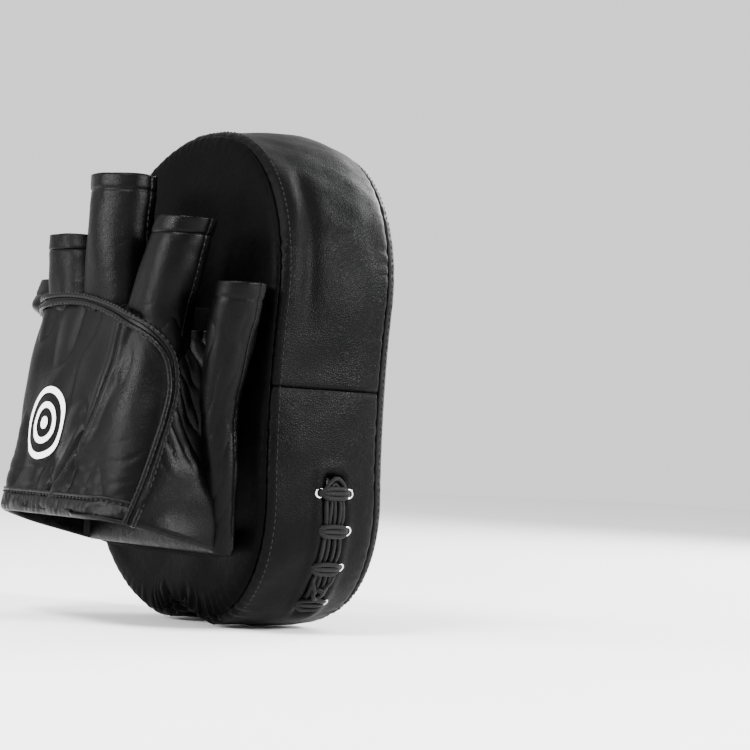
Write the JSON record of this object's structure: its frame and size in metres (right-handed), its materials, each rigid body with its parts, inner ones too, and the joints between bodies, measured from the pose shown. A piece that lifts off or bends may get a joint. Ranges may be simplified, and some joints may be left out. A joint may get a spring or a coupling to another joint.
{
  "type": "focus mitt",
  "caption": "Left-hand focus mitt: a curved, foam-filled leather striking pad with a laced slit in its side and an open-fingered glove sewn to its back.",
  "frame": {"origin": "the point on the back of the pad, at mid height and mid width, that the palm bears on", "axes": "+Z towards the finger tips, -Y out of the striking face, +Y out of the back of the hand, the thumb and the laces on the -X side"},
  "size_m": [0.184, 0.1565, 0.2495],
  "materials": {
    "strike_leather": "matt charcoal, smooth",
    "back_leather": "satin, fine grain",
    "gusset_leather": "satin, pebble grain",
    "glove_leather": "satin, soft grain",
    "binding": "satin, folded edge",
    "foam": "closed-cell foam",
    "lining": "matt",
    "lace": "waxed round lace",
    "nickel": "polished"
  },
  "bodies": {
    "pad": {"strike_panel": "strike_leather", "back_panel": "back_leather", "gusset_upper": "gusset_leather", "gusset_lower": "gusset_leather", "face_foam": "foam", "core_foam": "foam", "rear_foam": "foam", "lace_tongue": "lining", "lace": "lace", "eyelet_front_1": "nickel", "eyelet_front_2": "nickel", "eyelet_front_3": "nickel", "eyelet_front_4": "nickel", "eyelet_rear_1": "nickel", "eyelet_rear_2": "nickel", "eyelet_rear_3": "nickel", "eyelet_rear_4": "nickel", "palm_panel": "lining", "hand_back_panel": "glove_leather", "knuckle_panel": "glove_leather", "web_gusset": "glove_leather", "thumb_base_panel": "glove_leather", "cuff_binding": "binding"},
    "index": {"index_stall": "glove_leather", "index_hem": "binding"},
    "middle": {"middle_stall": "glove_leather", "middle_hem": "binding"},
    "ring": {"ring_stall": "glove_leather", "ring_hem": "binding"},
    "little": {"little_stall": "glove_leather", "little_hem": "binding"},
    "thumb": {"thumb_stall": "glove_leather", "thumb_hem": "binding"}
  },
  "joints": [
    {"name": "index_flex", "type": "hinge", "parent": "pad", "child": "index", "pos_m": [0, 0.041, 0.033], "axis": [-1, 0, 0], "range_deg": [-12, 24], "stiffness_Nm_per_rad": 0.12},
    {"name": "middle_flex", "type": "hinge", "parent": "pad", "child": "middle", "pos_m": [0, 0.041, 0.033], "axis": [-1, 0, 0], "range_deg": [-12, 24], "stiffness_Nm_per_rad": 0.12},
    {"name": "ring_flex", "type": "hinge", "parent": "pad", "child": "ring", "pos_m": [0, 0.041, 0.033], "axis": [-1, 0, 0], "range_deg": [-12, 24], "stiffness_Nm_per_rad": 0.12},
    {"name": "little_flex", "type": "hinge", "parent": "pad", "child": "little", "pos_m": [0, 0.041, 0.033], "axis": [-1, 0, 0], "range_deg": [-12, 14], "stiffness_Nm_per_rad": 0.12},
    {"name": "thumb_swing", "type": "hinge", "parent": "pad", "child": "thumb", "pos_m": [-0.061, 0.0154, -0.028], "axis": [0, -1, 0], "range_deg": [0, 20], "stiffness_Nm_per_rad": 0.12}
  ]
}
